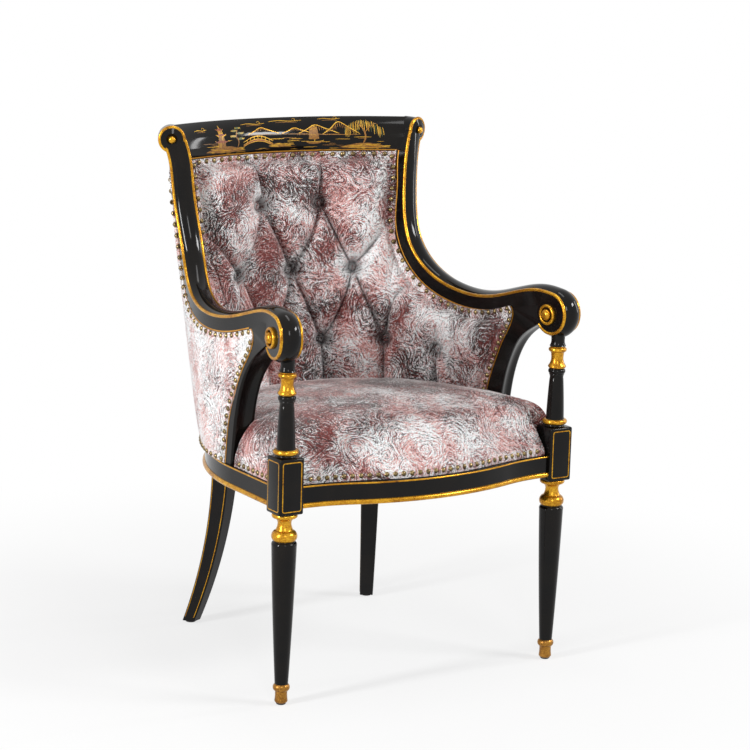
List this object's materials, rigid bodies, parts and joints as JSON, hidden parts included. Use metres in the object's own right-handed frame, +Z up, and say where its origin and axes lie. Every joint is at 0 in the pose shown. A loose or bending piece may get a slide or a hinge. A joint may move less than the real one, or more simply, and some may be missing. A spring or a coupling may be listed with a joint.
{
  "type": "upholstered armchair",
  "caption": "Tub-back open armchair with turned front legs, sabre rear legs, scrolled arms, rolled crest rail and deep-buttoned fabric upholstery.",
  "frame": {"origin": "on the floor under the middle of the chair's overall box", "axes": "+Z up, -Y towards the front of the chair, +X towards the sitter's left"},
  "size_m": [0.602, 0.602, 0.9268],
  "materials": {
    "black_lacquer": "high-gloss black lacquer with gilt lines and beads",
    "antique_gilt": "antique gilt on turned wood",
    "foot_brass": "antiqued brass",
    "glide_nylon": "moulded",
    "beech_frame": "sawn, unfinished",
    "zinc_screw": "zinc plated",
    "jute_webbing": "woven",
    "marbled_chenille": "marbled chenille in pale grey, charcoal and maroon",
    "black_cambric": "plain woven"
  },
  "bodies": {
    "root": {"front_leg_left": "black_lacquer", "front_leg_right": "black_lacquer", "arm_post_left": "black_lacquer", "arm_post_right": "black_lacquer", "rear_leg_left": "black_lacquer", "rear_leg_right": "black_lacquer", "front_seat_rail": "black_lacquer", "side_seat_rail_left": "black_lacquer", "side_seat_rail_right": "black_lacquer", "rear_seat_rail": "black_lacquer", "back_stile_left": "black_lacquer", "back_stile_right": "black_lacquer", "arm_left": "black_lacquer", "arm_right": "black_lacquer", "arm_support_left": "black_lacquer", "arm_support_right": "black_lacquer", "crest_rail": "black_lacquer", "scroll_rosettes_left": "antique_gilt", "scroll_rosettes_right": "antique_gilt", "crest_buttons": "antique_gilt", "front_foot_cap_left": "foot_brass", "front_foot_cap_right": "foot_brass", "front_glides": "glide_nylon", "rear_glides": "glide_nylon", "back_tack_rail": "beech_frame", "arm_tack_rail_left": "beech_frame", "arm_tack_rail_right": "beech_frame", "front_corner_blocks": "beech_frame", "rear_corner_blocks": "beech_frame", "corner_block_screws": "zinc_screw", "frame_dowels": "beech_frame", "seat_webbing": "jute_webbing", "seat_cushion": "marbled_chenille", "inside_back_pad": "marbled_chenille", "inside_arm_pad_left": "marbled_chenille", "inside_arm_pad_right": "marbled_chenille", "back_buttons": "marbled_chenille", "outside_back_panel": "marbled_chenille", "outside_arm_panel_left": "marbled_chenille", "outside_arm_panel_right": "marbled_chenille", "dust_cover": "black_cambric"}
  },
  "joints": []
}
